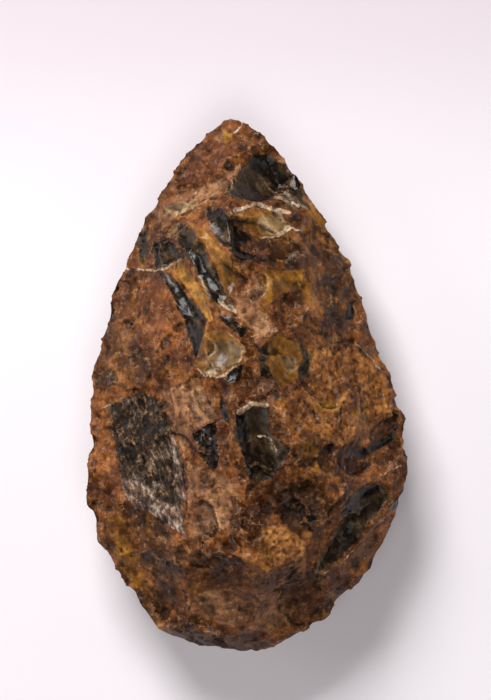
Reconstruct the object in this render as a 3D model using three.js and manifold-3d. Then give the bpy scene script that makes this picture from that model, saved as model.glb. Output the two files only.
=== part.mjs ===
// A knapped flint hand axe, lying on its back face. Millimetres, +Z up, tip towards +Y.
// It is made as the real one was: a rough blank is cut to its outline, then flake after flake
// is struck off both faces until only the hollow scars and the ridges between them are left.
import * as THREE from "three";
import { mergeVertices } from "three/addons/utils/BufferGeometryUtils.js";
import Module from "manifold-3d";

// Driving sizes, in millimetres.
const LENGTH = 140;
const WIDTH = 84;
const FRONT_RISE = 26;
const BACK_RISE = 20;
const REST_FLAT = 1.6;
const EDGE_SWAY = 1.1;
const RETOUCH_PITCH = 11;

// The cutting edge seen from above: shares of the width from the middle, of the length from the butt.
const MARGIN = [
  [-0.015, 1.014],
  [-0.115, 0.978],
  [-0.208, 0.93],
  [-0.293, 0.838],
  [-0.362, 0.764],
  [-0.418, 0.69],
  [-0.435, 0.645],
  [-0.49, 0.535],
  [-0.502, 0.43],
  [-0.502, 0.26],
  [-0.43, 0.155],
  [-0.348, 0.074],
  [-0.22, 0.02],
  [-0.02, -0.002],
  [0.11, 0.01],
  [0.26, 0.067],
  [0.37, 0.145],
  [0.468, 0.224],
  [0.497, 0.28],
  [0.496, 0.35],
  [0.515, 0.403],
  [0.472, 0.45],
  [0.447, 0.512],
  [0.365, 0.625],
  [0.358, 0.685],
  [0.27, 0.79],
  [0.168, 0.88],
  [0.08, 0.957],
  [0.02, 0.992],
];

// Flakes struck off the front face, in the order of their blows. at is where the scar's middle lies,
// as in MARGIN; run is the way the flake travelled, in degrees from +X; reach and spread are the
// scar's length and breadth as shares of the axe's length, and bite is its depth as a share of its
// breadth.
const FRONT_FLAKES = {
  tipCrown: { at: [-0.035, 0.955], run: -80, reach: 0.07, spread: 0.055, bite: 0.09 },
  tipLeft: { at: [-0.105, 0.93], run: -28, reach: 0.15, spread: 0.11, bite: 0.06 },
  tipRight: { at: [0.06, 0.94], run: 205, reach: 0.13, spread: 0.09, bite: 0.08 },
  upperLeftBand: { at: [-0.16, 0.885], run: 28, reach: 0.22, spread: 0.085, bite: 0.07 },
  upperLeftSlope: { at: [-0.125, 0.848], run: 32, reach: 0.24, spread: 0.08, bite: 0.08 },
  leftBowl: { at: [-0.205, 0.83], run: 15, reach: 0.12, spread: 0.07, bite: 0.11 },
  darkWindow: { at: [0.035, 0.866], run: 224, reach: 0.2, spread: 0.15, bite: 0.1 },
  darkWindowCorner: { at: [0.145, 0.868], run: 230, reach: 0.08, spread: 0.06, bite: 0.1 },
  tanScoop: { at: [0.05, 0.806], run: 185, reach: 0.15, spread: 0.078, bite: 0.14 },
  blackHollow: { at: [-0.085, 0.785], run: -38, reach: 0.13, spread: 0.08, bite: 0.1 },
  underScoop: { at: [0.085, 0.745], run: 178, reach: 0.2, spread: 0.09, bite: 0.07 },
  rightShoulderHigh: { at: [0.195, 0.825], run: 205, reach: 0.14, spread: 0.1, bite: 0.07 },
  rightShoulderMid: { at: [0.25, 0.755], run: 200, reach: 0.15, spread: 0.11, bite: 0.07 },
  rightShoulderLow: { at: [0.28, 0.675], run: 190, reach: 0.17, spread: 0.12, bite: 0.07 },
  leftTrough: { at: [-0.182, 0.665], run: -62, reach: 0.3, spread: 0.062, bite: 0.15 },
  rightTrough: { at: [-0.09, 0.675], run: -62, reach: 0.28, spread: 0.066, bite: 0.13 },
  troughBowl: { at: [-0.083, 0.565], run: -68, reach: 0.16, spread: 0.085, bite: 0.13 },
  blackTriangle: { at: [-0.24, 0.752], run: -15, reach: 0.09, spread: 0.065, bite: 0.11 },
  leftShoulder: { at: [-0.335, 0.7], run: -66, reach: 0.19, spread: 0.1, bite: 0.07 },
  leftFlank: { at: [-0.25, 0.595], run: -60, reach: 0.26, spread: 0.11, bite: 0.06 },
  leftEdgeDark: { at: [-0.42, 0.56], run: -75, reach: 0.2, spread: 0.1, bite: 0.06 },
  cortexFlank: { at: [-0.335, 0.4], run: -66, reach: 0.4, spread: 0.18, bite: 0.045 },
  middleFacet: { at: [-0.155, 0.44], run: -68, reach: 0.27, spread: 0.12, bite: 0.055 },
  blackSliver: { at: [-0.11, 0.388], run: -76, reach: 0.13, spread: 0.06, bite: 0.24 },
  rippledWindow: { at: [0.118, 0.532], run: -48, reach: 0.16, spread: 0.1, bite: 0.1 },
  stripedWindow: { at: [0.05, 0.395], run: -76, reach: 0.17, spread: 0.1, bite: 0.12 },
  middleSeam: { at: [0.015, 0.5], run: -80, reach: 0.14, spread: 0.08, bite: 0.07 },
  upperMiddle: { at: [0.02, 0.65], run: -80, reach: 0.19, spread: 0.12, bite: 0.07 },
  honeyFacet: { at: [0.14, 0.665], run: -95, reach: 0.15, spread: 0.09, bite: 0.09 },
  rightFlankHigh: { at: [0.3, 0.585], run: 235, reach: 0.2, spread: 0.09, bite: 0.07 },
  crustHollow: { at: [0.21, 0.455], run: 200, reach: 0.17, spread: 0.13, bite: 0.05 },
  crustNotch: { at: [0.2, 0.365], run: 190, reach: 0.13, spread: 0.07, bite: 0.1 },
  honeyLens: { at: [0.37, 0.462], run: 250, reach: 0.13, spread: 0.08, bite: 0.09 },
  rightLedge: { at: [0.4, 0.36], run: 214, reach: 0.24, spread: 0.09, bite: 0.08 },
  longGreyScar: { at: [0.3, 0.228], run: 232, reach: 0.28, spread: 0.1, bite: 0.13 },
  outerStrip: { at: [0.385, 0.2], run: 230, reach: 0.28, spread: 0.065, bite: 0.1 },
  lowerMiddleLeft: { at: [-0.1, 0.265], run: -85, reach: 0.2, spread: 0.14, bite: 0.055 },
  lowerMiddle: { at: [0.1, 0.25], run: -70, reach: 0.21, spread: 0.17, bite: 0.05 },
  lowerSeam: { at: [-0.02, 0.235], run: -80, reach: 0.17, spread: 0.06, bite: 0.08 },
  buttFacet: { at: [-0.09, 0.11], run: 84, reach: 0.16, spread: 0.24, bite: 0.04 },
  buttRight: { at: [0.13, 0.105], run: 115, reach: 0.17, spread: 0.16, bite: 0.055 },
  buttLeft: { at: [-0.27, 0.13], run: 50, reach: 0.2, spread: 0.14, bite: 0.06 },
  lowerLeftFlank: { at: [-0.33, 0.22], run: 15, reach: 0.18, spread: 0.15, bite: 0.055 },
  leftEdgeLow: { at: [-0.43, 0.31], run: -5, reach: 0.11, spread: 0.15, bite: 0.06 },
  leftEdgeMid: { at: [-0.445, 0.43], run: 5, reach: 0.1, spread: 0.16, bite: 0.06 },
};

// Both faces were first thinned by broad flakes, in rounds from the edge inwards. inset is how far in
// the scar's middle lies, reach and spread are as above, all shares of the length, and fan is the
// most that a flake turns from straight in, in degrees.
const FRONT_ROUNDS = [
  { flakes: 15, inset: 0.07, reach: 0.12, spread: 0.13, bite: 0.05, fan: 16 },
];
const BACK_ROUNDS = [
  { flakes: 10, inset: 0.16, reach: 0.22, spread: 0.19, bite: 0.035, fan: 18 },
  { flakes: 15, inset: 0.08, reach: 0.14, spread: 0.13, bite: 0.06, fan: 22 },
  { flakes: 18, inset: 0.035, reach: 0.09, spread: 0.1, bite: 0.07, fan: 20 },
];
const RETOUCH = { inset: 0.018, reach: 0.065, spread: 0.078, bite: 0.06, fan: 24 };

// No two flakes of a round are alike: how much their spacing and their sizes differ, as shares.
const UNEVEN_SPACING = 0.28;
const UNEVEN_SIZE = 0.22;

// The butt below this share of the length is left blunt for the hand, without retouch.
const BLUNT_BELOW = 0.08;

// The blank's crown lies at CROWN_ALONG of the length. Its section rises from the edge as a power
// curve, and a higher power from BUTT_ALONG down makes the butt blunter.
const CROWN_ALONG = 0.4;
const BUTT_ALONG = 0.23;
const SECTION_CURVE = 2;
const BUTT_CURVE = 3.6;
const OUTLINE_STEPS = 80;
const BLANK_RINGS = 6;

// A scar is a cap of a wavering ellipsoid: DISH is the cap's depth over the ellipsoid's height, and
// SCAR_DIP is how much deeper than its far end it starts, where the blow fell, as a share of depth.
const DISH = 0.25;
const SCAR_DIP = 0.6;
const SCAR_WAVER = 0.04;
const SCAR_WAVES = 2.2;

// Facets of a scar: their size in millimetres, and how many span its breadth where it is small.
const COARSEST_FACET = 7.4;
const FINEST_FACET = 4.2;
const FACETS_ACROSS = 2.6;
const LEAST_DETAIL = 2;

// Three waves add up to a slow waver. Each has its turns along x, y and z, and its shift by seed.
const WAVES = [
  [1.9, 1.1, 0, 1],
  [0, 1.3, -2.1, 2],
  [0.9, 0, 1.7, -3],
];
const SEED_STEP = 2.4;
const SWAY_WAVES = 9;

// Each of these draws its chances from a seed of its own. A group of rounds counts on from its seed.
const SEED = { edgeSway: 1, frontRetouch: 3, frontRounds: 5, backRetouch: 8, backRounds: 11 };

// A point given in shares of the width and the length, in millimetres about the middle of the axe.
function inPlan([across, along]) {
  return new THREE.Vector2(across * WIDTH, (along - 0.5) * LENGTH);
}

const edgeCurve = new THREE.CatmullRomCurve3(
  MARGIN.map((share) => new THREE.Vector3(...inPlan(share), 0)),
  true,
  "centripetal",
);
const edgeLine = edgeCurve.getSpacedPoints(OUTLINE_STEPS).slice(0, OUTLINE_STEPS);

// How far a point lies inside the cutting edge, negative outside it.
function depthInside(x, y) {
  let nearest = Infinity;
  let inside = false;
  edgeLine.forEach((a, i) => {
    const b = edgeLine[(i + 1) % OUTLINE_STEPS];
    const alongX = b.x - a.x;
    const alongY = b.y - a.y;
    const share = ((x - a.x) * alongX + (y - a.y) * alongY) / (alongX ** 2 + alongY ** 2);
    const t = THREE.MathUtils.clamp(share, 0, 1);
    nearest = Math.min(nearest, Math.hypot(x - a.x - t * alongX, y - a.y - t * alongY));
    if (a.y > y !== b.y > y && x < a.x + ((y - a.y) * alongX) / alongY) inside = !inside;
  });
  return inside ? nearest : -nearest;
}

// From -1 to 1: keeps hand-made lines and surfaces from running true.
function waver(x, y, z, seed) {
  const sum = WAVES.reduce(
    (total, [wx, wy, wz, shift]) =>
      total + Math.sin(wx * x + wy * y + wz * z + shift * SEED_STEP * seed),
    0,
  );
  return sum / WAVES.length;
}

// The blank: both faces rise from the swaying edge as a dome.
function blankHeight(x, y, side) {
  const rise = side > 0 ? FRONT_RISE : BACK_RISE;
  const inward = Math.min(1, depthInside(x, y) / (WIDTH / 2));
  const buttness = 1 - THREE.MathUtils.smoothstep(y, inPlan([0, 0]).y, inPlan([0, BUTT_ALONG]).y);
  const power = THREE.MathUtils.lerp(SECTION_CURVE, BUTT_CURVE, buttness);
  const turns = SWAY_WAVES / LENGTH;
  const sway = EDGE_SWAY * waver(turns * x, turns * y, 0, SEED.edgeSway);
  return sway + side * rise * (1 - (1 - inward) ** power);
}

function blankPoint(x, y, side) {
  return new THREE.Vector3(x, y, blankHeight(x, y, side));
}

// A closed geometry as a solid that can be cut.
function solidOf(wasm, geometry) {
  const bare = geometry.clone();
  bare.deleteAttribute("normal");
  bare.deleteAttribute("uv");
  const merged = mergeVertices(bare);
  return new wasm.Manifold(
    new wasm.Mesh({
      numProp: 3,
      vertProperties: merged.attributes.position.array,
      triVerts: new Uint32Array(merged.index.array),
    }),
  );
}

// The blank as one closed mesh: rings of points from the edge to the crown, on both faces.
function blankGeometry() {
  const positions = [];
  const faces = [];
  const addPoint = (x, y, side) => positions.push(x, y, blankHeight(x, y, side)) / 3 - 1;
  const crownSpot = inPlan([0, CROWN_ALONG]);
  const edgeRing = edgeLine.map(({ x, y }) => addPoint(x, y, 0));
  for (const side of [1, -1]) {
    let outer = edgeRing;
    for (let ring = 1; ring < BLANK_RINGS; ring += 1) {
      const inner = edgeLine.map(({ x, y }) => {
        const spot = new THREE.Vector2(x, y).lerp(crownSpot, ring / BLANK_RINGS);
        return addPoint(spot.x, spot.y, side);
      });
      outer.forEach((a, i) => {
        const j = (i + 1) % OUTLINE_STEPS;
        const quad = [a, outer[j], inner[j], inner[i]];
        if (side < 0) quad.reverse();
        faces.push(quad[0], quad[1], quad[2], quad[0], quad[2], quad[3]);
      });
      outer = inner;
    }
    const crown = addPoint(crownSpot.x, crownSpot.y, side);
    outer.forEach((a, i) => {
      const b = outer[(i + 1) % OUTLINE_STEPS];
      faces.push(...(side > 0 ? [a, b, crown] : [b, a, crown]));
    });
  }
  const geometry = new THREE.BufferGeometry();
  geometry.setAttribute("position", new THREE.Float32BufferAttribute(positions, 3));
  geometry.setIndex(faces);
  return geometry;
}

// A unit ball whose surface wavers, with enough facets for a scar of this size.
function waveringBall(reach, spread, rimShare, seed) {
  const facet = THREE.MathUtils.clamp(spread / FACETS_ACROSS, FINEST_FACET, COARSEST_FACET);
  const radius = Math.sqrt(reach * spread) / 2 / rimShare;
  const ball = new THREE.IcosahedronGeometry(1, Math.max(LEAST_DETAIL, Math.round(radius / facet)));
  const spots = ball.attributes.position;
  for (let i = 0; i < spots.count; i += 1) {
    const p = new THREE.Vector3().fromBufferAttribute(spots, i);
    const bent = waver(SCAR_WAVES * p.x, SCAR_WAVES * p.y, SCAR_WAVES * p.z, seed);
    p.multiplyScalar(1 + SCAR_WAVER * bent);
    spots.setXYZ(i, p.x, p.y, p.z);
  }
  return ball;
}

// The hollow that one flake leaves, with its rim on the blank's surface.
function flakeGeometry({ x, y, run, reach, spread, bite }, side, seed) {
  const heading = THREE.MathUtils.degToRad(run);
  const along = new THREE.Vector2(Math.cos(heading), Math.sin(heading));
  const across = new THREE.Vector2(-along.y, along.x);
  const depth = bite * spread;
  const rim = [
    [along, reach / 2],
    [along, -reach / 2],
    [across, spread / 2],
    [across, -spread / 2],
  ].map(([way, out]) => blankPoint(x + way.x * out, y + way.y * out, side));
  const [far, near, left, right] = rim;
  near.z -= side * SCAR_DIP * depth;
  const middle = new THREE.Vector3();
  rim.forEach((point) => middle.addScaledVector(point, 1 / rim.length));
  const lengthwise = far.sub(near).normalize();
  const up = lengthwise.clone().cross(left.sub(right)).normalize().multiplyScalar(side);

  const height = depth / DISH;
  const rimShare = Math.sqrt(1 - (1 - DISH) ** 2);
  const geometry = waveringBall(reach, spread, rimShare, seed);
  geometry.scale(reach / 2 / rimShare, spread / 2 / rimShare, height);
  const breadthwise = up.clone().cross(lengthwise);
  geometry.applyMatrix4(new THREE.Matrix4().makeBasis(lengthwise, breadthwise, up));
  const ballCentre = middle.addScaledVector(up, height * (1 - DISH));
  geometry.translate(ballCentre.x, ballCentre.y, ballCentre.z);
  return geometry;
}

// Flakes struck in from the edge, station after station, each a little different from the last.
function flakesAround({ flakes, inset, reach, spread, bite, fan }, seed) {
  THREE.MathUtils.seededRandom(seed);
  const chance = () => 2 * THREE.MathUtils.seededRandom() - 1;
  const uneven = (size) => size * (1 + UNEVEN_SIZE * chance());
  return Array.from({ length: flakes }, (_, i) => {
    const station = THREE.MathUtils.euclideanModulo((i + UNEVEN_SPACING * chance()) / flakes, 1);
    const edge = edgeCurve.getPointAt(station);
    const way = edgeCurve.getTangentAt(station);
    const inwards = new THREE.Vector2(-way.y, way.x);
    const far = uneven(inset * LENGTH);
    return {
      x: edge.x + inwards.x * far,
      y: edge.y + inwards.y * far,
      run: THREE.MathUtils.radToDeg(inwards.angle()) + fan * chance(),
      reach: uneven(reach * LENGTH),
      spread: uneven(spread * LENGTH),
      bite: uneven(bite),
    };
  });
}

// Small scars that sharpen the edge, side by side from one corner of the butt round to the other.
function retouch(seed) {
  const flakes = Math.round(edgeCurve.getLength() / RETOUCH_PITCH);
  const sharpFrom = inPlan([0, BLUNT_BELOW]).y;
  return flakesAround({ ...RETOUCH, flakes }, seed).filter(({ y }) => y > sharpFrom);
}

function frontFlakes() {
  return Object.values(FRONT_FLAKES).map((flake) => {
    const { x, y } = inPlan(flake.at);
    return { ...flake, x, y, reach: flake.reach * LENGTH, spread: flake.spread * LENGTH };
  });
}

async function handAxe() {
  const wasm = await Module();
  wasm.setup();
  const thinned = FRONT_ROUNDS.flatMap((round, i) => flakesAround(round, SEED.frontRounds + i));
  const back = BACK_ROUNDS.flatMap((round, i) => flakesAround(round, SEED.backRounds + i));
  const blows = [
    ...[...thinned, ...frontFlakes(), ...retouch(SEED.frontRetouch)].map((flake) => ({ flake, side: 1 })),
    ...[...back, ...retouch(SEED.backRetouch)].map((flake) => ({ flake, side: -1 })),
  ];
  let axe = solidOf(wasm, blankGeometry());
  blows.forEach(({ flake, side }, i) => {
    axe = axe.subtract(solidOf(wasm, flakeGeometry(flake, side, i + 1)));
  });

  // A small flat on the back face's highest spot, so that the axe lies without rocking.
  const ground = new THREE.BoxGeometry(2 * WIDTH, 2 * LENGTH, 2 * BACK_RISE);
  ground.translate(0, 0, REST_FLAT - 2 * BACK_RISE);
  axe = axe.subtract(solidOf(wasm, ground));

  const { numProp, vertProperties, triVerts } = axe.getMesh();
  const geometry = new THREE.BufferGeometry();
  geometry.setAttribute("position", new THREE.BufferAttribute(vertProperties, numProp));
  geometry.setIndex(new THREE.BufferAttribute(triVerts, 1));
  geometry.computeBoundingBox();
  const box = geometry.boundingBox;
  geometry.translate(-(box.min.x + box.max.x) / 2, -(box.min.y + box.max.y) / 2, -box.min.z);
  geometry.computeVertexNormals();
  const flint = new THREE.MeshStandardMaterial({ color: 0x7a4a26, roughness: 0.42, metalness: 0 });
  const mesh = new THREE.Mesh(geometry, flint);
  mesh.name = "hand_axe";
  return mesh;
}

const part = new THREE.Group();
part.add(await handAxe());

export default part;
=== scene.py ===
import math

import bmesh
import bpy
import numpy as np
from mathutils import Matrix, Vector, noise
from mathutils.bvhtree import BVHTree
from mathutils.kdtree import KDTree


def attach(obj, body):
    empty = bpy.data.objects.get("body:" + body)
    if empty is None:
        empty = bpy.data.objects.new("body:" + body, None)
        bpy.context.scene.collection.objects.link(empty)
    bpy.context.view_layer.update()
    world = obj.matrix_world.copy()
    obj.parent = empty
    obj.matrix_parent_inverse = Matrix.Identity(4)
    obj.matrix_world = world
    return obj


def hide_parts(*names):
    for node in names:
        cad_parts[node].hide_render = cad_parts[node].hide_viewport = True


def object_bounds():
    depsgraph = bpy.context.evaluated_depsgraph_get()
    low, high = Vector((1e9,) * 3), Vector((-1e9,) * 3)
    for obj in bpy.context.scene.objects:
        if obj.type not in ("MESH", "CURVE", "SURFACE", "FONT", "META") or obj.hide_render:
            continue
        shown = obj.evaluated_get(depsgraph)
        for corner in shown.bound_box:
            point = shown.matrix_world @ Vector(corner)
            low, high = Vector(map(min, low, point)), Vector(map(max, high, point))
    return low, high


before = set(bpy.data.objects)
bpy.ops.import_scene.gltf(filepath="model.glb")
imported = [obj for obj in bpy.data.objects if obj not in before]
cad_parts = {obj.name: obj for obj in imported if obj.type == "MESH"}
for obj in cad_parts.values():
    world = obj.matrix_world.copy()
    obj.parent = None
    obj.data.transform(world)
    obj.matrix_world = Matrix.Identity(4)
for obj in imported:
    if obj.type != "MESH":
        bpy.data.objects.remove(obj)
cad_box = [list(corner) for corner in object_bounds()]


# The surface. The axe lies on a sheet of matt white board, far wider than the picture, and painted shade
# makes it a little greyer past the tip.
MM = 0.001
BOARD_SIZE = 6.0
BOARD_TONES = [(0.3, "#f1eaee"), (0.7, "#f5eef2")]
# The board's far colour is painted shade; it begins and is full at the two distances along the board
# below.
BOARD_PAINTED_SHADE = "#d6cad0"
FADE_FROM = 20 * MM
FADE_TO = 120 * MM


def linear(hex_colour, alpha=1.0):
    shares = [int(hex_colour[i : i + 2], 16) / 255 for i in (1, 3, 5)]
    return [c / 12.92 if c <= 0.04045 else ((c + 0.055) / 1.055) ** 2.4 for c in shares] + [alpha]


def add_node(tree, kind, output, inputs=None, stops=None, **settings):
    """Adds a node and gives one of its outputs. Inputs are values or sockets, stops a ramp's colours."""
    made = tree.nodes.new(kind)
    for name, value in settings.items():
        setattr(made, name, value)
    for name, value in (inputs or {}).items():
        if isinstance(value, bpy.types.NodeSocket):
            tree.links.new(value, made.inputs[name])
        else:
            made.inputs[name].default_value = value
    for i, (place, colour) in enumerate(stops or []):
        stop = made.color_ramp.elements[i] if i < 2 else made.color_ramp.elements.new(place)
        stop.position = place
        stop.color = linear(colour)
    return made.outputs[output] if made.outputs else made


def new_material(name):
    material = bpy.data.materials.new(name)
    material.use_nodes = True
    material.node_tree.nodes.clear()
    return material, material.node_tree


# Matt white board, uncoated: no gloss, a faint unevenness of tone, and painted shade fading in towards its
# far side.
board_material, tree = new_material("matt_white_board")
where = add_node(tree, "ShaderNodeTexCoord", "Object")
mottle = add_node(tree, "ShaderNodeTexNoise", "Fac", {"Vector": where, "Scale": 8.0, "Detail": 2.0})
tone = add_node(tree, "ShaderNodeValToRGB", "Color", {"Fac": mottle}, BOARD_TONES)
# Painted shade: past the tip the board's tone is mixed towards the far colour.
along = add_node(tree, "ShaderNodeSeparateXYZ", "Y", {"Vector": where})
fade = {"Value": along, "From Min": FADE_FROM, "From Max": FADE_TO}
fade = add_node(tree, "ShaderNodeMapRange", "Result", fade, interpolation_type="SMOOTHSTEP")
tone = add_node(tree, "ShaderNodeMix", 2, {0: fade, 6: tone, 7: linear(BOARD_PAINTED_SHADE)}, data_type="RGBA")
matt = {"Base Color": tone, "Roughness": 0.9, "Specular IOR Level": 0.1}
shader = add_node(tree, "ShaderNodeBsdfPrincipled", "BSDF", matt)
add_node(tree, "ShaderNodeOutputMaterial", 0, {"Surface": shader})

bpy.ops.object.select_all(action="DESELECT")
bpy.ops.mesh.primitive_plane_add(size=BOARD_SIZE, location=(0, 0, 0))
board = bpy.context.object
board.name = "board"
board.data.materials.append(board_material)


# The axe. One nodule of flint, knapped on both faces: a copy of the CAD solid is cut finer, its
# facets are faired into smooth scars, and then small chips, ripples, pits and crust are worked in.
VOXEL = 0.4 * MM
RIDGE_ANGLE = math.radians(5)
MOST_TRIANGLES = 192000

cad_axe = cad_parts["hand_axe"]
axe = bpy.data.objects.new("flint_hand_axe", cad_axe.data.copy())
bpy.context.scene.collection.objects.link(axe)
axe.data.materials.clear()
axe.select_set(True)
bpy.context.view_layer.objects.active = axe
bpy.ops.object.mode_set(mode="EDIT")
bpy.ops.mesh.select_all(action="SELECT")
bpy.ops.mesh.remove_doubles(threshold=0.002 * MM)
bpy.ops.object.mode_set(mode="OBJECT")


def scars_of(mesh):
    """The number of the scar that each face is in: a scar is hollow, so it ends at a ridge."""
    cut = bmesh.new()
    cut.from_mesh(mesh)
    cut.faces.ensure_lookup_table()
    scar = [-1] * len(cut.faces)
    count = 0
    for first in cut.faces:
        if scar[first.index] >= 0:
            continue
        scar[first.index] = count
        waiting = [first]
        while waiting:
            face = waiting.pop()
            for edge in face.edges:
                if edge.calc_face_angle_signed(0) > RIDGE_ANGLE:
                    continue
                for near in edge.link_faces:
                    if scar[near.index] < 0:
                        scar[near.index] = count
                        waiting.append(near)
        count += 1
    tree = BVHTree.FromBMesh(cut)
    ridges = [
        (edge.verts[0].co.copy(), edge.verts[1].co.copy())
        for edge in cut.edges
        if edge.calc_face_angle_signed(0) > RIDGE_ANGLE
    ]
    cut.free()
    return scar, tree, ridges


face_scar, cad_surface, ridge_edges = scars_of(axe.data)


def vectors(mesh, items, field):
    """A field of a mesh's items as rows of three numbers."""
    rows = np.empty(len(items) * 3, np.float32)
    items.foreach_get(field, rows)
    return rows.reshape(-1, 3).astype(float)


def apply_modifier(piece, kind, **settings):
    modifier = piece.modifiers.new("work", kind)
    for name, value in settings.items():
        setattr(modifier, name, value)
    bpy.ops.object.modifier_apply(modifier=modifier.name)


apply_modifier(axe, "REMESH", mode="VOXEL", voxel_size=VOXEL, adaptivity=0)

# Fairing: the vertices away from the ridges are smoothed until the cut facets are gone. Nearer to a
# ridge than RIDGE_KEPT nothing moves, and past RIDGE_FREE the smoothing is whole.
RIDGE_KEPT = 0.35 * MM
RIDGE_FREE = 1.6 * MM
RIDGE_STEP = 0.35 * MM
FAIRING_ROUNDS = 70

ridge_points = []
for start, end in ridge_edges:
    steps = max(1, int((end - start).length / RIDGE_STEP))
    ridge_points += [start.lerp(end, i / steps) for i in range(steps + 1)]
ridge_tree = KDTree(len(ridge_points))
for i, point in enumerate(ridge_points):
    ridge_tree.insert(point, i)
ridge_tree.balance()

far = np.array([ridge_tree.find(vertex.co)[2] for vertex in axe.data.vertices])
free = np.clip((far - RIDGE_KEPT) / (RIDGE_FREE - RIDGE_KEPT), 0, 1)
fair_group = axe.vertex_groups.new(name="scars")
for level in range(1, 11):
    chosen = np.nonzero(np.ceil(free * 10) == level)[0]
    fair_group.add(chosen.tolist(), level / 10, "REPLACE")
apply_modifier(axe, "SMOOTH", factor=0.5, iterations=FAIRING_ROUNDS, vertex_group="scars")
axe.vertex_groups.clear()


def smoothly(value, low, high):
    t = np.clip((value - low) / (high - low), 0, 1)
    return t * t * (3 - 2 * t)


def grain(points, size, octaves=1, seed=0):
    """Noise from about -1 to 1 at points in mm, its lumps about size mm across."""
    shift = np.array([17.3, -9.1, 5.7]) * seed
    return np.array([noise.fractal(p, 1.0, 2.0, octaves) for p in points / size + shift])


points = vectors(axe.data, axe.data.vertices, "co") / MM
normals = vectors(axe.data, axe.data.vertex_normals, "vector")

random = np.random.default_rng(7)

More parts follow.
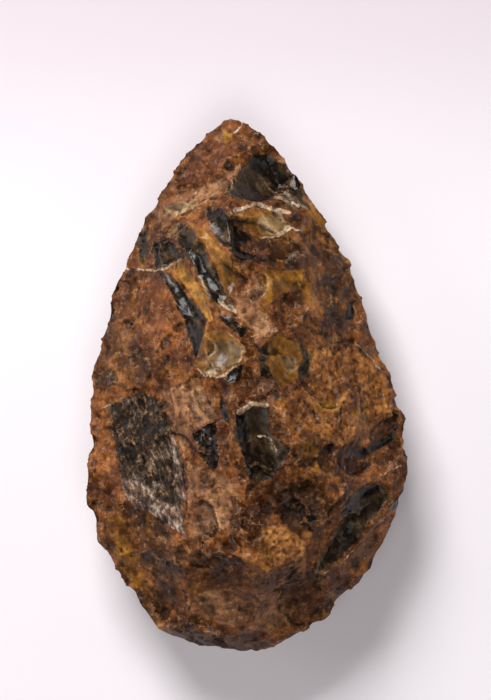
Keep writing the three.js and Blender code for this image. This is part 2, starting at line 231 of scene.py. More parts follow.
# What the front shows where: the outline of each area, x and y in mm.
AREAS = {
    "rust": {
        "left flank": [
            (-28, 27.5), (-23, 29.5), (-17.5, 20), (-14, 10.5), (-12, 2.5), (-24, 9), (-29, 18),
        ],
        "left margin": [
            (-41.5, -6.5), (-36.5, -7), (-34, -18), (-32.5, -30), (-39.5, -31.5), (-41.5, -20),
        ],
        "ledge": [
            (22.5, -29), (26, -23), (35, -17.5), (41.5, -17), (41, -21.5), (31.5, -25), (26, -29.5),
            (22, -35.5),
        ],
        "tip's left": [(-20, 52), (-8, 66), (-3, 64), (-2, 60), (-12, 54)],
        "margin under the notch": [(27, 12), (31, 14), (37, 3), (33, 5)],
    },
    "dusty": {
        "upper left band": [
            (-24, 45), (-21.5, 48.5), (-16, 50.5), (-7, 53.5), (1, 59.5), (-4.5, 53), (-7, 50),
            (-12, 46.5), (-17.5, 44.5), (-21.5, 40.5),
        ],
        "butt facet": [
            (-17.5, -57.5), (-12, -53.5), (-4.5, -52.5), (3.5, -53), (12, -55.5), (11, -61.5),
            (6, -65), (-3, -63), (-11, -61),
        ],
        "middle facet": [(-15.5, -19.5), (-4.5, -23.5), (-1.5, -29), (-4.5, -36.5), (-15, -39.5)],
        "flank over the sliver": [(-22, -2), (-14, 2), (-8, -3), (-8, -8), (-14, -12), (-16, -19)],
        "right of the trough": [(-5, 22), (3, 27), (4, 20), (8, 14), (3, 9.5), (1, 14)],
    },
    "crust": {
        "bulge": [
            (15.5, 0), (17.5, 9), (25, 11), (28.5, 10.5), (37, 1), (38.5, -10), (33.5, -15.5),
            (22, -15), (18.5, -19.5), (12.5, -19.5), (11.5, -13), (7, -10), (6, -4),
        ],
        "bulge's top": [(9, 19), (16, 21), (26, 13), (24, 9), (17, 9), (13, 12)],
        "lower middle": [(-1.5, -36.5), (9, -35.5), (15.5, -40.5), (15.5, -51), (6, -53.5), (-1.5, -51)],
    },
    "mottled": {
        "olive facet": [
            (6, -27.5), (14, -24), (22, -27.5), (20.5, -34), (15.5, -39.5), (9, -35), (3.5, -30),
        ],
        "crust's lower end": [(12, -19), (20, -16), (28, -17), (26, -22), (18, -25), (10, -23)],
        "right shoulder": [
            (12, 45), (18, 46), (27, 34), (29, 22), (26, 14), (18, 20), (10, 24), (3, 32),
        ],
        "left shoulder": [(-28, 40), (-23, 44), (-20, 39), (-25, 35), (-27, 27), (-30, 30)],
        "lower left": [(-38, -33), (-32, -33), (-27, -49), (-27, -57), (-33, -48)],
        "brown facet": [(-14, -42), (-5, -41), (-4.5, -50), (-11, -51)],
    },
    "umber": {
        "band under the scoop": [
            (1.5, 38), (8, 38.5), (14, 39.5), (19.5, 42), (22.5, 38), (26, 33), (22, 27.5),
            (15.5, 31.5), (9, 34.5), (2.5, 35.5),
        ],
        "right shoulder": [(17, 33), (24, 37), (29, 33), (30, 24), (27, 15), (21, 18), (18, 25)],
        "spot in the honey": [(8, 27), (13.5, 27.5), (11.5, 23)],
        "left margin rough": [
            (-37, 16.5), (-30.5, 14.5), (-27, 9), (-24, 4), (-27, 0), (-40.5, 0), (-39.5, 7),
        ],
        "lower left": [
            (-32.5, -30), (-24, -34.5), (-16, -40.5), (-17.5, -52.5), (-22, -59), (-28, -57.5),
            (-27, -49), (-28.5, -39.5),
        ],
        "lower middle": [(-3.5, -28), (1, -34), (-1.5, -36.5), (-4.5, -42), (-4.5, -35.5)],
        "butt's underside": [
            (-28.5, -57.5), (-22, -59), (-11, -63), (-3, -66), (6, -68), (2.5, -71.5), (-14, -69.5),
            (-27, -62),
        ],
        "butt's right edge": [(18, -59), (26, -53.5), (23, -59), (14, -65.5), (9, -69), (11, -65)],
        "under the crust": [(12, -21), (16, -20), (20, -24), (15, -26)],
        "hole in the crust": [(14, -5), (18, -4.5), (19, -8), (15, -8.5)],
    },
    "cortex": {
        "flank": [
            (-36.5, -5), (-27, -1.5), (-22, -4), (-19.5, -10), (-16, -21.5), (-16, -36.5),
            (-24, -31.5), (-32, -29), (-34, -18), (-35.5, -10),
        ],
    },
    "bloom": {
        "flank's foot": [
            (-32.5, -24), (-26.5, -25), (-22, -29.5), (-17.5, -31.5), (-15.5, -39.5),
            (-18.5, -37.5), (-25.5, -33), (-32, -29),
        ],
        "flank's right side": [(-20, -12), (-18.5, -13), (-15.5, -30), (-18, -28)],
    },
    "honey": {
        "between the troughs": [
            (-17.5, 33.5), (-15, 30), (-10, 22.5), (-8, 16.5), (-10, 16.5), (-14, 23.5),
            (-19.5, 29.5),
        ],
        "right of the troughs": [
            (-15.5, 43), (-11, 40.5), (-7, 35.5), (-1.5, 30), (-4.5, 22.5), (-7, 29), (-11, 36.5),
        ],
        "scoop": [
            (-3, 44.5), (2.5, 46), (9, 46), (10, 43), (11.5, 41.5), (8, 38.5), (3.5, 38),
            (-0.5, 40.5),
        ],
        "trough bowl": [
            (-11, 14), (-5.5, 15), (-0.5, 10.5), (-1.5, 6.5), (-7, 3), (-11, 2.5), (-13, 5),
            (-12, 10.5),
        ],
        "rippled window": [(2.5, 9), (8, 13), (13.5, 11), (17.5, 8), (15.5, 2.5), (9, 0), (3.5, 2.5)],
        "facet": [(4, 30), (10, 29.5), (15.5, 30), (14, 25), (7.5, 22.5), (4, 19.5)],
        "lens": [(28.5, -3.5), (31.5, -4.5), (32.5, -11), (28.5, -9)],
        "patch by the lens": [(16.5, -4), (24, -4), (24.5, -7), (17.5, -6.5)],
        "right margin": [(15, 47), (17, 48.5), (22, 40), (20, 40)],
        "right margin low": [(23, 37), (25, 38), (28, 31), (25.5, 32)],
        "tip bowl": [(-6.5, 67), (-3, 66), (-4.5, 63), (-7, 63.5)],
        "nodule": [(12.5, -15), (18, -14.5), (18.5, -18), (14, -19)],
    },
    "tan": {
        "scoop": [(2, 43), (6, 45), (9, 45), (11.5, 41.5), (8, 38.5), (4, 38.5)],
        "trough bowl": [(-8, 11), (-4, 12), (-0.5, 9.5), (-1.5, 6.5), (-7, 3), (-11, 3), (-11.5, 6)],
        "rippled window": [(8, 8), (12.5, 7.5), (13.5, 4), (10, 2.5)],
        "left bowl": [(-22, 46), (-17.5, 48), (-12.5, 47.5), (-13.5, 46), (-18.5, 44)],
        "over the trough": [(-20, 41), (-17, 42.5), (-16, 39), (-19, 38)],
    },
    "smoke": {
        "window under the tip": [
            (1.5, 60), (5, 60.5), (11.5, 58), (14, 52.5), (17.5, 46), (13.5, 46), (9, 48),
            (2.5, 48), (-3, 48.5), (-6, 49.5), (-3, 54.5),
        ],
        "left margin": [(-28, 40), (-26, 39.5), (-26.5, 30), (-28.5, 33)],
        "right trough": [
            (-18, 41.5), (-15, 41.5), (-11, 35.5), (-7, 27.5), (-5, 22.5), (-7, 19.5), (-10, 23),
            (-14, 31), (-17.5, 36.5),
        ],
        "rippled window's right side": [(13.5, 11), (17.5, 8), (15.5, 2.5), (13, 3), (14.5, 7)],
        "rippled window's left side": [(2.5, 9), (6, 11.5), (5.5, 6), (7, 1.5), (3.5, 2.5)],
        "slit": [(28.5, 10.5), (31.5, 8), (32.5, 6), (29, 8.5)],
        "striped window": [
            (-3, -7), (1, -5), (5.5, -6), (6, -12), (11.5, -16.5), (6, -23.5), (1.5, -25.5),
            (-1, -18.5), (-3.5, -13),
        ],
        "long scar": [
            (26, -29.5), (30.5, -26), (34.5, -25), (37.5, -29), (31.5, -36.5), (25, -44.5),
            (18.5, -50), (16.5, -52), (18.5, -45), (22.5, -39.5),
        ],
    },
    "black": {
        "window's top": [(1.5, 59.5), (11.5, 58), (14, 52.5), (12.5, 49), (6, 53), (1, 56.5)],
        "hollow": [
            (-11, 46), (-7, 46), (-3.5, 42), (1.5, 38), (-1.5, 35.5), (2.5, 33), (-1.5, 32),
            (-7, 36.5), (-10, 40.5),
        ],
        "triangle": [(-25, 35.5), (-20.5, 38.5), (-16, 33), (-23.5, 30)],
        "left trough": [
            (-23.5, 29.5), (-20, 29.5), (-15, 23.5), (-10, 16.5), (-11.5, 12), (-13, 7),
            (-15.5, 14.5), (-18.5, 21.5),
        ],
        "right trough's middle": [(-14, 34), (-11, 33), (-7, 25), (-6, 21), (-8, 21), (-12, 28)],
        "right trough's foot": [(-7.5, 19.5), (-3, 17.5), (1, 14.5), (-1, 12), (-4.5, 14.5), (-7.5, 17)],
        "margin spot": [(26, 21.5), (28.5, 22), (28, 17), (25.5, 17)],
        "sliver": [(-14, -12.5), (-8, -8.5), (-7, -21.5), (-9.5, -21.5), (-12, -17.5)],
        "seam": [(-7.5, -2.5), (-4.5, -4), (-4.5, -10), (-7, -7)],
        "window's left side": [(-2.5, -8), (0, -7), (2, -24), (0.5, -24), (-1.5, -16)],
        "crevice": [
            (40, -8.5), (39.5, -14), (35, -16.5), (30.5, -19.5), (26, -17), (30, -16.5), (37, -13),
        ],
        "scar's top": [(28.5, -27.5), (34.5, -25), (34.5, -28), (30, -30)],
        "right edge": [(39, -29), (41.5, -25.5), (41.5, -31), (36.5, -33.5)],
        "under the bowl": [(-5, 3.5), (0, 6), (-2, 1), (-6, 0)],
    },
}

# Thin pale lines: worn ridges, cracks, and painted highlights, the glints and the lit rims of the scoop
# and of the trough bowl. For each, its points, its breadth and how strong it is.
LINES = {
    # Painted highlight along the scoop's lower rim, where it is lit.
    "scoop's lit rim": ([(3.5, 38), (8, 38.5), (11.5, 41), (14.5, 40)], 0.7, 0.8),
    "over the scoop": ([(-3, 45), (2.5, 47.5), (6, 46), (11, 45)], 1.1, 0.9),
    "glint in the window": ([(6, 51.5), (9, 49), (13.5, 47)], 0.9, 0.9),
    "window's left rim": ([(1, 60), (-3, 54.5), (-6, 49.5)], 0.5, 0.6),
    "crack at the triangle": ([(-31.5, 30.5), (-24, 30), (-20, 31), (-16, 33)], 0.6, 0.8),
    "ridge down from the crack": ([(-28, 30), (-28, 20), (-24, 12), (-15, 4)], 0.5, 0.45),
    # Painted highlight along the trough bowl's lower rim, where it is lit.
    "trough bowl's lit rim": ([(-12.5, 4), (-11, 2.5), (-7, 2.5), (-2.5, 5)], 0.7, 0.8),
    "glint by the trough": ([(-7, 22), (-3, 19)], 1.2, 1),
    "right of the bowl": ([(0.5, 12), (5, 14), (8, 14)], 0.7, 0.6),
    "tip's crest": ([(-3, 66), (-0.5, 69.5)], 0.6, 0.7),
    "under the tip": ([(-11.5, 58), (-4.5, 59.5), (1.5, 60.5)], 0.6, 0.45),
    "upper left ridge": ([(-22, 46), (-14, 50), (-5, 54)], 0.5, 0.45),
    "top of the striped window": ([(-2, -6.5), (1.5, -4.5), (5, -5)], 1.3, 1),
    "glint in the striped window": ([(3, -13), (6, -13.5), (7.5, -17)], 0.8, 0.7),
    "sliver's rim": ([(-16, -20), (-12, -21.5), (-9, -24), (-7, -20), (-6, -12)], 0.5, 0.45),
    "slit's rim": ([(28, 11), (33, 7), (37, 1)], 0.5, 0.7),
    "ledge": ([(22, -33), (26, -29), (32, -24.5), (41, -21)], 0.6, 0.6),
    "scar's left ridge": ([(22, -36.5), (22.5, -40.5), (18.5, -44.5), (16.5, -48.5)], 0.6, 0.45),
    "scar's right ridge": ([(18.5, -50), (26, -45), (31.5, -38.5), (37, -34), (41, -31.5)], 0.6, 0.6),
    "outer ridge": ([(27, -50), (33, -43), (39, -36)], 0.5, 0.45),
    "left margin": ([(-39.5, -15.5), (-35, -13), (-34, -19)], 0.5, 0.45),
    "vein": ([(-37.5, -6), (-30, -1.5)], 0.7, 0.6),
    "left foot": ([(-35, -48), (-31, -50), (-29, -56)], 0.5, 0.45),
    "butt": ([(-17.5, -57), (-12, -53.5), (-4.5, -52), (3.5, -52.5)], 0.5, 0.45),
    "seam in the middle": ([(-4, -38), (-2, -42), (-4, -50)], 0.5, 0.45),
}
# How far the drawn outlines and lines waver, in mm.
WAVER = 0.5

# The back isn't in the photograph: there each scar draws its finish by lot.
BACK_LUCK = {
    "black": (0, 0.08),
    "smoke": (0.08, 0.14),
    "dusty": (0.14, 0.36),
    "rust": (0.36, 0.6),
    "honey": (0.6, 0.68),
}
scar_luck = random.random(max(face_scar) + 1)
# How far a finish fades over its rim, in mm, where that isn't USUAL_RIM.
SOFT_RIM = {
    "rust": 2.5,
    "dusty": 1.6,
    "crust": 1.8,
    "mottled": 2.5,
    "umber": 1.5,
    "cortex": 1.5,
    "tan": 2,
}
USUAL_RIM = 1


def to_line(points, corners, closed):
    """How far each point lies from a line in plan; inside a closed one the distance is negative."""
    plan = points[:, :2]
    far = np.full(len(points), np.inf)
    inside = np.zeros(len(points), bool)
    following = corners[1:] + corners[:1] if closed else corners[1:]
    for (x, y), (next_x, next_y) in zip(corners, following):
        start, way = np.array([x, y]), np.array([next_x - x, next_y - y])
        share = np.clip((plan - start) @ way / (way @ way), 0, 1)
        far = np.minimum(far, np.hypot(*(plan - start - np.outer(share, way)).T))
        if closed and y != next_y:
            level = (plan[:, 1] > min(y, next_y)) & (plan[:, 1] <= max(y, next_y))
            inside ^= level & (plan[:, 0] < x + (plan[:, 1] - y) * way[0] / way[1])
    return np.where(inside, -far, far)


def scars_at(points):
    """The scar at each point, looked up a little to one side so that no boundary runs ruler straight."""
    sway = [0.4 * grain(points, 2.5, 2, seed) + 1.1 * grain(points, 9, 1, seed) for seed in (21, 22, 23)]
    shaken = points + np.stack(sway, axis=1)
    return np.array([face_scar[cad_surface.find_nearest(place * MM)[2]] for place in shaken])


def wavered(points):
    """The points moved a little, so that a line measured from them isn't ruler straight."""
    return points + WAVER * np.stack([grain(points, 3, 3, seed) for seed in (1, 2, 3)], axis=1)


def paint(points, scars, front, finish):
    """How much of a finish each point shows."""
    wavy = wavered(points)
    shown = np.zeros(len(points))
    # The pale lines: worn stone, and painted highlights.
    if finish == "pale_lines_and_highlights":
        for corners, breadth, strength in LINES.values():
            far = to_line(wavy, corners, False)
            shown = np.maximum(shown, strength * (1 - smoothly(far, 0.2 * breadth, 0.8 * breadth)))
        return shown * front
    soft = SOFT_RIM.get(finish, USUAL_RIM)
    for corners in AREAS[finish].values():
        shown = np.maximum(shown, 1 - smoothly(to_line(wavy, corners, True), -soft, soft))
    low, high = BACK_LUCK.get(finish, (0, 0))
    at_back = (scar_luck[scars] > low) & (scar_luck[scars] < high)
    return shown * front + 0.8 * at_back * (1 - front)


def front_share(normals):
    return smoothly(normals[:, 2], -0.25, 0.1)


front = front_share(normals)
scars = scars_at(points)
shown = {finish: paint(points, scars, front, finish) for finish in [*AREAS, "pale_lines_and_highlights"]}
crust = shown["crust"]
cortex = shown["cortex"]
glass = np.maximum.reduce([shown[finish] for finish in ("black", "smoke", "tan", "honey")])

# Near the cutting edge the larger scars, the hollows and most of the relief fade out, so that its line
# stays true. EDGE_KEPT is how far from it they start and are whole, in mm.
EDGE_KEPT = (0.5, 4)
rim = np.nonzero(np.abs(normals[:, 2]) < 0.25)[0]
rim_tree = KDTree(len(rim))
for i in rim:
    rim_tree.insert(points[i], i)
rim_tree.balance()
inland = smoothly(np.array([rim_tree.find(point)[2] for point in points]), *EDGE_KEPT)

# Small scars: each takes the stone inside a squashed ball away, moving the surface straight in. It is
# steep where the blow fell and feathers out to the far end.
# name: (how many, least and most breadth, least and most depth as shares of it, longest stretch,
# how far glassy stone is spared, how fresh the tone)
BLOWS = {
    "scars": (1100, 4, 12, 0.025, 0.06, 2.2, 1.3, 0.8),
    "spalls": (3000, 1.4, 4, 0.03, 0.075, 1.8, 0.85, 0.35),
}
# Larger scars that break up long ridges: x, y, run in degrees, breadth, depth and stretch.
BREAKS = {
    "tip's ridge": (-3, 61, -25, 9, 0.7, 1.3),
    "ridge by the window": (-2, 53, 160, 9, 0.6, 1.4),
    "ridge over the hollow": (-3, 45, -40, 8, 0.7, 1.4),
    "ridge under the hollow": (-2, 36, 200, 8, 0.6, 1.3),
    "over the sliver": (-8, -4, -60, 10, 0.8, 1.5),
    "foot of the flank": (-16, -27, 10, 11, 0.9, 1.3),
    "left of the middle": (-15, -39, 200, 10, 0.8, 1.4),
    "butt's left ridge": (-17, -52, 0, 12, 0.9, 1.3),
    "butt's right ridge": (10, -52, 170, 11, 0.8, 1.4),
    "middle seam": (1, -26, -70, 9, 0.8, 1.6),
}
# Chips round the cutting edge, and their least and most breadth in mm.
CHIPS_ROUND_EDGE = 170
CHIP_BREADTH = (1.6, 4.6)
# How far a scar reaches behind the blow, as a share of its half breadth.
HEEL = 0.55
# Below this height, in mm, the stone is left as it is, so that the axe keeps its flat spot.
LEFT_FLAT = 1.5

tone = scar_luck[scars]
nearby = KDTree(len(points))
for i, point in enumerate(points):
    nearby.insert(point, i)
nearby.balance()


def strike(spot, run, breadth, depth, stretch, fresh=0.6):
    """Hollows the surface at the vertex spot, in the direction run, and bares stone of another tone."""
    normal = normals[spot]
    run = run - (run @ normal) * normal
    run /= np.linalg.norm(run)
    radius = (breadth**2 / 4 + depth**2) / (2 * depth)
    near = np.array([found[1] for found in nearby.find_range(points[spot], 0.6 * breadth * stretch)], int)
    away = points[near] - points[spot] - normal * (radius - depth)
    forth = away @ run
    away -= np.outer(forth * (1 - 1 / np.where(forth > 0, stretch, HEEL)), run)
    up = away @ normal
    floor = -np.sqrt(np.maximum(radius**2 - np.einsum("ij,ij->i", away, away) + up**2, 0))
    inside = (up > floor) & (up < 0)
    taken = (floor - up)[inside]
    if breadth > CHIP_BREADTH[1]:
        taken *= inland[near[inside]]
    points[near[inside]] += np.outer(taken, normal)
    tone[near[inside]] += fresh * (random.random() - tone[near[inside]])


for x, y, turn, breadth, depth, stretch in BREAKS.values():
    far = np.hypot(points[:, 0] - x, points[:, 1] - y) + 100 * (normals[:, 2] < 0)
    run = np.array([math.cos(math.radians(turn)), math.sin(math.radians(turn)), 0])
    strike(far.argmin(), run, breadth, depth, stretch)
for how_many, least, most, shallow, deep, longest, kept_glass, fresh in BLOWS.values():
    for spot in random.choice(len(points), how_many):
        breadth = least + (most - least) * random.random() ** 1.8
        depth = breadth * random.uniform(shallow, deep)
        inwards = np.array([-points[spot, 0], -0.3 * points[spot, 1], 0])
        run = inwards / 20 + random.normal(0, 0.7, 3)
        if points[spot, 2] > LEFT_FLAT and random.random() > glass[spot] * kept_glass:
            strike(spot, run, breadth, depth, random.uniform(1, longest), fresh)
for spot in random.choice(rim, CHIPS_ROUND_EDGE):
    breadth = random.uniform(*CHIP_BREADTH)
    strike(spot, random.normal(0, 1, 3), breadth, breadth * random.uniform(0.05, 0.1), 1)

# Ripples where a blow's shock ran through glassy stone: the blow's x and y, the pitch and the reach.
RIPPLES = {
    "rippled window": (14, 8, 1.7, 11),
    "grey scar": (30, -27, 2.2, 20),
    "window under the tip": (10, 59, 1.8, 12),
}

# How deep the outlined areas lie in the surface around them, in mm; the crust stands out. HOLLOW_RIM is
# how wide the step down to them is.
HOLLOWS = {
    "black": 0.45,
    "smoke": 0.4,
    "tan": 0.5,
    "honey": 0.2,
    "cortex": 0.3,
    "dusty": 0.2,
    "crust": -0.6,
}
HOLLOW_RIM = 0.9

# Relief, in mm: swells and fine grit all over, lumps in the crust and streaks in the cortex. All of it
# is sunk a little, to stay in the solid's box, and fades out towards the flat spot, between two heights.
SUNK = 0.25
FLAT_TO_ROUGH = (0.2, 1.2)
STREAK_RUN = math.radians(-66)
along_streak = np.array([math.cos(STREAK_RUN), math.sin(STREAK_RUN), 0])
streaked = points - 0.75 * np.outer(points @ along_streak, along_streak)
relief = 0.12 * grain(points, 5, 3, 3)
relief += 0.05 * grain(points, 1.5, 2, 4) * (1 - 0.8 * glass)
relief += crust * (0.42 * np.abs(grain(points, 3, 2, 5)) + 0.24 * grain(points, 1.3, 2, 6))
relief += cortex * (0.35 * grain(streaked, 1.5, 2, 7) + 0.15 * grain(points, 1.2, 2, 8))
relief += 0.13 * shown["pale_lines_and_highlights"]
wavy = wavered(points)
for finish, deep in HOLLOWS.items():
    for corners in AREAS[finish].values():
        within = np.maximum(-to_line(wavy, corners, True), 0)
        relief -= deep * (1 - np.exp(-within / HOLLOW_RIM)) * front
for x, y, pitch, reach in RIPPLES.values():
    far = np.hypot(points[:, 0] - x, points[:, 1] - y)
    relief += 0.05 * np.sin(2 * np.pi * far / pitch) * (1 - smoothly(far, 0.6 * reach, reach)) * front
relief = (relief * (0.3 + 0.7 * inland) - SUNK) * smoothly(points[:, 2], *FLAT_TO_ROUGH)
points += normals * relief[:, None]
axe.data.vertices.foreach_set("co", (points * MM).astype(np.float32).ravel())
axe.data.update()

# The decimated stone takes the tones of the struck one.
struck = KDTree(len(points))
for i, point in enumerate(points):
    struck.insert(point, i)
struck.balance()
triangles = sum(len(polygon.vertices) - 2 for polygon in axe.data.polygons)
if triangles > MOST_TRIANGLES:
    apply_modifier(axe, "DECIMATE", ratio=MOST_TRIANGLES / triangles)

# The strikes and the relief took up to 1.2 mm off the ends: the stone is drawn out by that much, to
# the CAD solid's box, and nothing reaches outside it or under the board.
points = vectors(axe.data, axe.data.vertices, "co")
lowest, highest = points.min(axis=0), points.max(axis=0)
lowest[2] = 0
points = cad_box[0] + (points - lowest) * (np.subtract(*cad_box[::-1]) / (highest - lowest))
points = np.clip(points, cad_box[0], cad_box[1])
axe.data.vertices.foreach_set("co", points.astype(np.float32).ravel())
axe.data.update()

points /= MM
normals = vectors(axe.data, axe.data.vertex_normals, "vector")
front = front_share(normals)


def set_mask(mesh, name, values):
    mask = mesh.attributes.new(name, "FLOAT", "POINT")
    mask.data.foreach_set("value", values.astype(np.float32))


# Ridges and creases: how far each vertex stands out from its neighbours, and from a wider stretch of
# the stone, in mm.
ends = np.empty(len(axe.data.edges) * 2, np.int32)
axe.data.edges.foreach_get("vertices", ends)
ends = ends.reshape(-1, 2)
neighbours = np.bincount(ends.ravel(), minlength=len(points)).astype(float)


def of_neighbours(values):
    """The mean of a value over each vertex's neighbours."""
    total = np.bincount(ends[:, 0], values[ends[:, 1]], len(points))
    total += np.bincount(ends[:, 1], values[ends[:, 0]], len(points))
    return total / neighbours


around = np.stack([of_neighbours(points[:, axis]) for axis in range(3)], axis=1)
proud = np.einsum("ij,ij->i", points - around, normals)
for _ in range(2):
    proud = 0.5 * proud + 0.5 * of_neighbours(proud)
# The ridge mask sets where the material paints pale wear and a highlight.
set_mask(axe.data, "ridge", smoothly(proud, 0.012, 0.06))
# The crease mask sets where the material paints shade in the creases.
set_mask(axe.data, "crease", smoothly(-proud, 0.008, 0.04))
broadly = points
for _ in range(24):
    broadly = np.stack([of_neighbours(broadly[:, axis]) for axis in range(3)], axis=1)
standing = np.einsum("ij,ij->i", points - broadly, normals)
# The standing mask sets where the material paints shade in the hollows.
set_mask(axe.data, "standing", smoothly(standing, -0.3, 0.3))
scars = scars_at(points)
set_mask(axe.data, "tone", tone[[struck.find(point)[1] for point in points]])
for finish in [*AREAS, "pale_lines_and_highlights"]:
    set_mask(axe.data, finish, paint(points, scars, front, finish))


# Patinated flint, knapped: glassy where a flake left clean black or honey stone, waxy brown where
# iron stained it, dull and gritty on the crust and the grey rind.
# name: (texture, roughness, colours: dark, light and between)
FINISHES = {
    "rust": ("blotchy", 0.34, [(0.32, "#3f1e0c"), (0.68, "#b46d33"), (0.5, "#76401b")]),
    "dusty": ("crusty", 0.34, [(0.32, "#5a351f"), (0.68, "#c89160"), (0.5, "#8f5e3c")]),
    "crust": ("crusty", 0.32, [(0.38, "#2b1206"), (0.66, "#bd7d3c"), (0.5, "#78451c")]),
    "cortex": ("streaked", 0.46, [(0.4, "#140c07"), (0.68, "#a68d76"), (0.55, "#43301f")]),
    "bloom": ("streaked", 0.5, [(0.38, "#2a1d14"), (0.62, "#d0bba6"), (0.5, "#74594a")]),
    "mottled": ("blotchy", 0.3, [(0.34, "#120a03"), (0.66, "#ab7027"), (0.51, "#522b0b")]),
    "umber": ("blotchy", 0.34, [(0.36, "#2b1608"), (0.66, "#a86a32"), (0.52, "#5a3416")]),
    "honey": ("banded", 0.26, [(0.34, "#35200a"), (0.68, "#c8903a"), (0.52, "#80521a")]),
    "tan": ("banded", 0.25, [(0.36, "#5a4026"), (0.66, "#e0c294"), (0.52, "#94744e")]),
    "smoke": ("banded", 0.24, [(0.4, "#130d08"), (0.64, "#9a8562"), (0.53, "#463623")]),
    "black": ("banded", 0.25, [(0.42, "#050302"), (0.7, "#5e4628"), (0.57, "#1d130b")]),
    # Pale lines: worn ridges and cracks, and painted highlights.
    "pale_lines_and_highlights": ("grainy", 0.36, [(0.32, "#84644a"), (0.66, "#efe0cb"), (0.5, "#c5a482")]),
}
# name: (size in mm, detail, roughness, stretch, direction of the stretch in degrees)
TEXTURES = {
    "broad": (9, 5, 0.6, 1, 0),
    "blotchy": (4, 6, 0.62, 1, 0),
    "crusty": (2.2, 8, 0.75, 1, 0),
    "grainy": (1.1, 5, 0.75, 1, 0),
    "banded": (1.7, 5, 0.6, 4, -57),
    "streaked": (1.0, 4, 0.7, 3, math.degrees(STREAK_RUN)),
    "edges": (2.6, 6, 0.75, 1, 0),
    "pits": (0.7, 3, 0.7, 1, 0),
}
flint, tree = new_material("patinated_knapped_flint")
where = add_node(tree, "ShaderNodeTexCoord", "Object")
texture = {}
for name, (size, detail, rough, stretch, turn) in TEXTURES.items():
    turned = {"Vector": where, "Rotation": (0, 0, math.radians(turn)), "Scale": (stretch, 1, 1)}
    along = add_node(tree, "ShaderNodeMapping", "Vector", turned, vector_type="TEXTURE")
    fine = {"Vector": along, "Scale": 1 / (size * MM), "Detail": detail, "Roughness": rough}
    texture[name] = add_node(tree, "ShaderNodeTexNoise", "Fac", fine)
painted = {}
for name in [*FINISHES, "ridge", "crease", "standing", "tone"]:
    painted[name] = add_node(tree, "ShaderNodeAttribute", "Fac", attribute_name=name)

# The patina between the named finishes: brown, its tone drifting over the stone and from scar to scar.
facet = {"Value": painted["tone"], "To Min": 0.32, "To Max": 0.68}
facet = add_node(tree, "ShaderNodeMapRange", "Result", facet)
drift = add_node(tree, "ShaderNodeMix", 0, {0: 0.6, 2: texture["blotchy"], 3: facet})
drift = add_node(tree, "ShaderNodeMix", 0, {0: 0.3, 2: drift, 3: texture["broad"]})
browns = [(0.34, "#331708"), (0.68, "#b97333"), (0.46, "#5a2f10"), (0.57, "#894f20")]
colour = add_node(tree, "ShaderNodeValToRGB", "Color", {"Fac": drift}, browns)
roughness = 0.36

# Where each finish begins: its mask is cut off at a level that noise moves, so that borders are ragged
# and islands form. Glassy scars keep crisper borders, soft here and there.
wide = {"Value": texture["edges"], "From Min": 0.3, "From Max": 0.7, "To Min": 0.08, "To Max": 0.82}
ragged_start = add_node(tree, "ShaderNodeMapRange", "Result", wide)
ragged_end = add_node(tree, "ShaderNodeMath", 0, {0: ragged_start, 1: 0.25})
narrow = {"Value": texture["edges"], "From Min": 0.3, "From Max": 0.7, "To Min": 0.2, "To Max": 0.65}
crisp_start = add_node(tree, "ShaderNodeMapRange", "Result", narrow)
spread = {"Value": texture["broad"], "From Min": 0.42, "From Max": 0.6, "To Min": 0.05, "To Max": 0.6}
spread = add_node(tree, "ShaderNodeMapRange", "Result", spread)
crisp_end = add_node(tree, "ShaderNodeMath", 0, {0: crisp_start, 1: spread})

# Each finish's tone: its own texture, evened out by the scar's tone, on slow swings over the stone.
slow = {"Value": texture["broad"], "From Min": 0.35, "From Max": 0.65, "To Min": 0.15, "To Max": 0.85}
slow = add_node(tree, "ShaderNodeMapRange", "Result", slow)
for name, (kind, gloss, stops) in FINISHES.items():
    start, end = crisp_start, crisp_end
    if name in SOFT_RIM or name == "pale_lines_and_highlights":
        start, end = ragged_start, ragged_end
    share = {"Value": painted[name], "From Min": start, "From Max": end}
    share = add_node(tree, "ShaderNodeMapRange", "Result", share, interpolation_type="SMOOTHSTEP")
    even = 0.12 if kind == "streaked" else 0.5
    varied = add_node(tree, "ShaderNodeMix", 0, {0: even, 2: texture[kind], 3: facet})
    varied = add_node(tree, "ShaderNodeMix", 0, {0: 0.25, 2: varied, 3: slow})
    stained = add_node(tree, "ShaderNodeValToRGB", "Color", {"Fac": varied}, stops)
    colour = add_node(tree, "ShaderNodeMix", 2, {0: share, 6: colour, 7: stained}, data_type="RGBA")
    roughness = add_node(tree, "ShaderNodeMix", 0, {0: share, 2: roughness, 3: gloss})

# Painted shade in the hollows and creases, dirt in the pits, and the ridges worn pale with a painted
# highlight.
# Painted shade: stone lying lower than the stone about it, over some 2 mm, is made darker.
hollow = {"Value": painted["standing"], "From Min": 0.5, "From Max": 0.05, "To Max": 0.35}
darkened = add_node(tree, "ShaderNodeMapRange", "Result", hollow)
colour = add_node(tree, "ShaderNodeMix", 2, {0: darkened, 6: colour, 7: linear("#0e0703")}, data_type="RGBA")
pit = {"Value": texture["pits"], "From Min": 0.54, "From Max": 0.7, "To Max": 0.5}
darkened = add_node(tree, "ShaderNodeMapRange", "Result", pit)
colour = add_node(tree, "ShaderNodeMix", 2, {0: darkened, 6: colour, 7: linear("#0c0603")}, data_type="RGBA")
# Painted shade: the creases are made darker.
darkened = add_node(tree, "ShaderNodeMath", 0, {0: painted["crease"], 1: 0.7}, operation="MULTIPLY")
colour = add_node(tree, "ShaderNodeMix", 2, {0: darkened, 6: colour, 7: linear("#0f0704")}, data_type="RGBA")
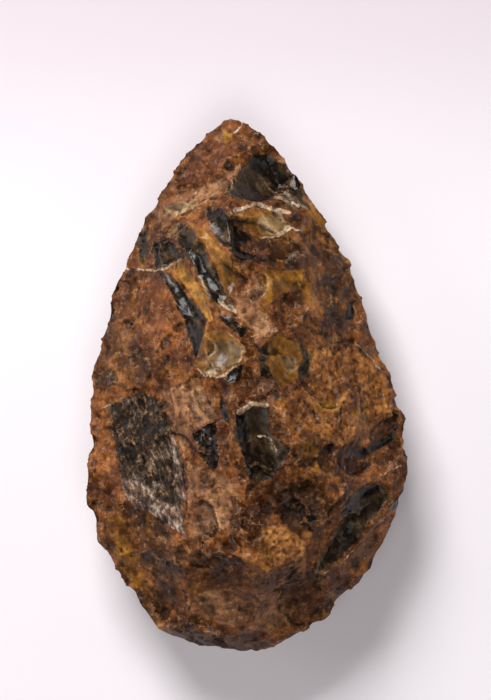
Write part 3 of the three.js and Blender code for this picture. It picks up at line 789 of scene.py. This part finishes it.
# Partly wear and partly painted highlight: the ridges are turned pale here and there.
worn_and_highlit = {"Value": texture["grainy"], "From Min": 0.46, "From Max": 0.66, "To Max": 0.6}
worn_and_highlit = add_node(tree, "ShaderNodeMapRange", "Result", worn_and_highlit)
worn_and_highlit = add_node(tree, "ShaderNodeMath", 0, {0: painted["ridge"], 1: worn_and_highlit}, operation="MULTIPLY")
colour = add_node(tree, "ShaderNodeMix", 2, {0: worn_and_highlit, 6: colour, 7: linear("#c08a55")}, data_type="RGBA")

# Glassy stone keeps a smooth skin, and rough stone has the fine relief in full.
soft = {"Value": roughness, "From Min": 0.25, "From Max": 0.36, "To Min": 0.15, "To Max": 1.0}
soft = add_node(tree, "ShaderNodeMapRange", "Result", soft)

# Fine facets: cells that broke off flat, each leaning its own way, with rims dirty here and worn there.
# Their size in mm and how steeply they lean, and the rims: where the noise is full and where it ends,
# colour and most share.
FACETS = {"coarse": (3.6, 0.7), "fine": (1.2, 0.8)}
FACET_RIMS = {"darkened": (0.4, 0.52, "#0b0502", 0.65), "worn": (0.65, 0.53, "#cf9a63", 0.6)}
warp = {"Vector": where, "Scale": 1 / (2.5 * MM), "Detail": 1.0}
warp = add_node(tree, "ShaderNodeTexNoise", "Color", warp)
bend = {0: warp, 1: (1.2 * MM, 1.2 * MM, 1.2 * MM), 2: where}
bent = add_node(tree, "ShaderNodeVectorMath", 0, bend, operation="MULTIPLY_ADD")
height = add_node(tree, "ShaderNodeMath", 0, {0: texture["grainy"], 1: 0.2 * MM}, operation="MULTIPLY")
for size, lean in FACETS.values():
    cell = {"Vector": bent, "Scale": 1 / (size * MM)}
    chance = add_node(tree, "ShaderNodeTexVoronoi", "Color", cell)
    out = {0: bent, 1: chance.node.outputs["Position"]}
    out = add_node(tree, "ShaderNodeVectorMath", 0, out, operation="SUBTRACT")
    way = add_node(tree, "ShaderNodeVectorMath", 0, {0: chance, 1: (0.5, 0.5, 0.5)}, operation="SUBTRACT")
    rise = add_node(tree, "ShaderNodeVectorMath", "Value", {0: out, 1: way}, operation="DOT_PRODUCT")
    height = add_node(tree, "ShaderNodeMath", 0, {0: rise, 1: lean, 2: height}, operation="MULTIPLY_ADD")
    rim = add_node(tree, "ShaderNodeTexVoronoi", "Distance", cell, feature="DISTANCE_TO_EDGE")
    rim = {"Value": rim, "From Max": 0.2 / size, "To Min": 1.0, "To Max": 0.0}
    rim = add_node(tree, "ShaderNodeMapRange", "Result", rim)
    rim = add_node(tree, "ShaderNodeMath", 0, {0: rim, 1: soft}, operation="MULTIPLY")
    for full, gone, hue, most in FACET_RIMS.values():
        seen = {"Value": texture["edges"], "From Min": gone, "From Max": full, "To Max": most}
        seen = add_node(tree, "ShaderNodeMapRange", "Result", seen)
        seen = add_node(tree, "ShaderNodeMath", 0, {0: seen, 1: rim}, operation="MULTIPLY")
        colour = add_node(tree, "ShaderNodeMix", 2, {0: seen, 6: colour, 7: linear(hue)}, data_type="RGBA")

# Flint bends light as quartz does; the patina and dust on it take more than half of its shine.
FLINT_IOR = 1.54
SHEEN = 0.19
bump = {"Height": height, "Strength": soft, "Distance": 1.15}
bump = add_node(tree, "ShaderNodeBump", "Normal", bump)
stone = {
    "Base Color": colour,
    "Roughness": roughness,
    "IOR": FLINT_IOR,
    "Specular IOR Level": SHEEN,
    "Normal": bump,
}
shader = add_node(tree, "ShaderNodeBsdfPrincipled", "BSDF", stone)
add_node(tree, "ShaderNodeOutputMaterial", 0, {"Surface": shader})
axe.data.materials.append(flint)
for polygon in axe.data.polygons:
    polygon.use_smooth = True

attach(axe, "root")
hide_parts("hand_axe")


# Studio light: a large soft box past the tip, one overhead, a low one on each side, and a pale room.
def softbox(name, place, size, watts, aim=(0, 0, 0.02)):
    lamp = bpy.data.lights.new(name, "AREA")
    lamp.shape = "RECTANGLE"
    lamp.size, lamp.size_y = size
    lamp.energy = watts
    light = bpy.data.objects.new(name, lamp)
    bpy.context.scene.collection.objects.link(light)
    light.location = place
    light.rotation_euler = (Vector(aim) - Vector(place)).to_track_quat("-Z", "Y").to_euler()


softbox("key", (-0.25, 0.67, 0.64), (0.45, 0.35), 10.5)
softbox("overhead", (0, -0.4, 1.2), (0.8, 0.8), 5.5)
softbox("left_fill", (-0.85, 0.15, 0.35), (0.3, 0.6), 1.8)
softbox("right_fill", (0.85, 0.1, 0.35), (0.3, 0.6), 0.8)

room = bpy.data.worlds.new("room")
bpy.context.scene.world = room
room.use_nodes = True
room.node_tree.nodes["Background"].inputs["Color"].default_value = linear("#f3eef4")
room.node_tree.nodes["Background"].inputs["Strength"].default_value = 0.05
bpy.context.scene.view_settings.view_transform = "Standard"

# Camera: square to the front face, which is what the photograph shows. PICTURE_TALL is the real
# height that the picture covers at the level of the cutting edge.
PICTURE_TALL = 183.5 * MM
EDGE_LEVEL = 19 * MM
FILM_TALL = 36.0
LENS = 200.0
FRAME_OFFSET = (-0.3 * MM, 9.2 * MM)
camera_data = bpy.data.cameras.new("camera")
camera_data.lens = LENS
camera_data.sensor_width = FILM_TALL
camera = bpy.data.objects.new("camera", camera_data)
bpy.context.scene.collection.objects.link(camera)
camera.location = (*FRAME_OFFSET, EDGE_LEVEL + PICTURE_TALL * LENS / FILM_TALL)
bpy.context.scene.camera = camera
